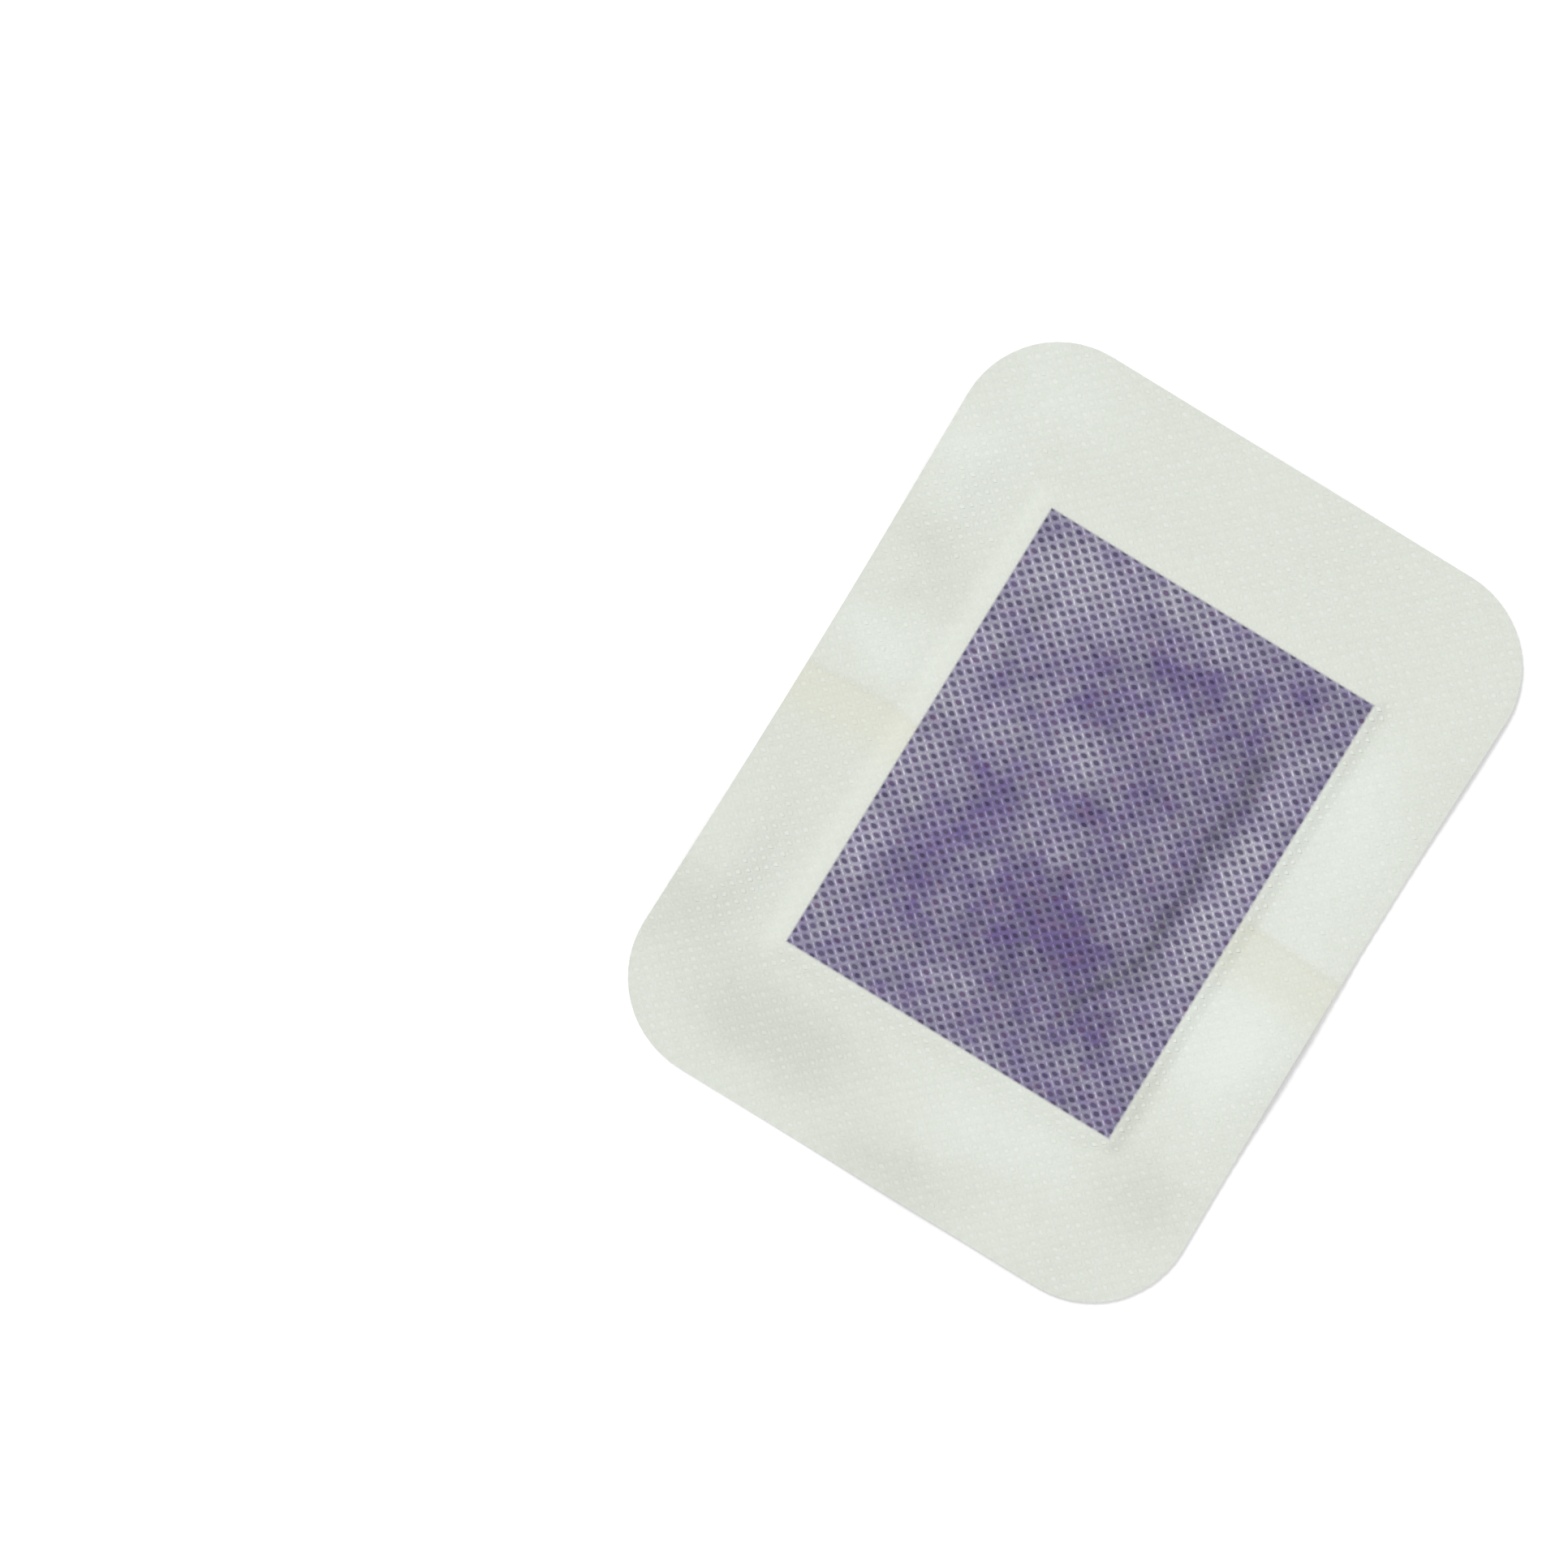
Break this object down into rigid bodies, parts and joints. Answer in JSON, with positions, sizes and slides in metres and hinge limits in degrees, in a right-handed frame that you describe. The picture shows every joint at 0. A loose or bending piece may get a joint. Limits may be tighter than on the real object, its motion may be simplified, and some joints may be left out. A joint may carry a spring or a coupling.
{
  "type": "foot detox pad",
  "caption": "Flat adhesive foot patch: round-cornered dotted nonwoven cover over a sealed rectangular herb sachet, with a split release liner whose halves overlap on the back.",
  "frame": {"origin": "middle of the pad's outline, on the lower face of the release liner", "axes": "+X across the pad's width, +Y along its length towards the end that the long liner half covers, +Z out of the cover cloth"},
  "size_m": [0.0758, 0.1, 0.0035],
  "materials": {
    "cover_cloth": "thin white spunbond nonwoven with small staggered bond points, matt, letting the sachet show through",
    "herb_sachet": "dark greyish purple nonwoven bag filled with herb powder, matt",
    "release_liner": "thin white translucent release paper, satin"
  },
  "bodies": {
    "root": {"cover_cloth": "cover_cloth", "herb_sachet": "herb_sachet", "liner_long": "release_liner", "liner_short": "release_liner"}
  },
  "joints": []
}
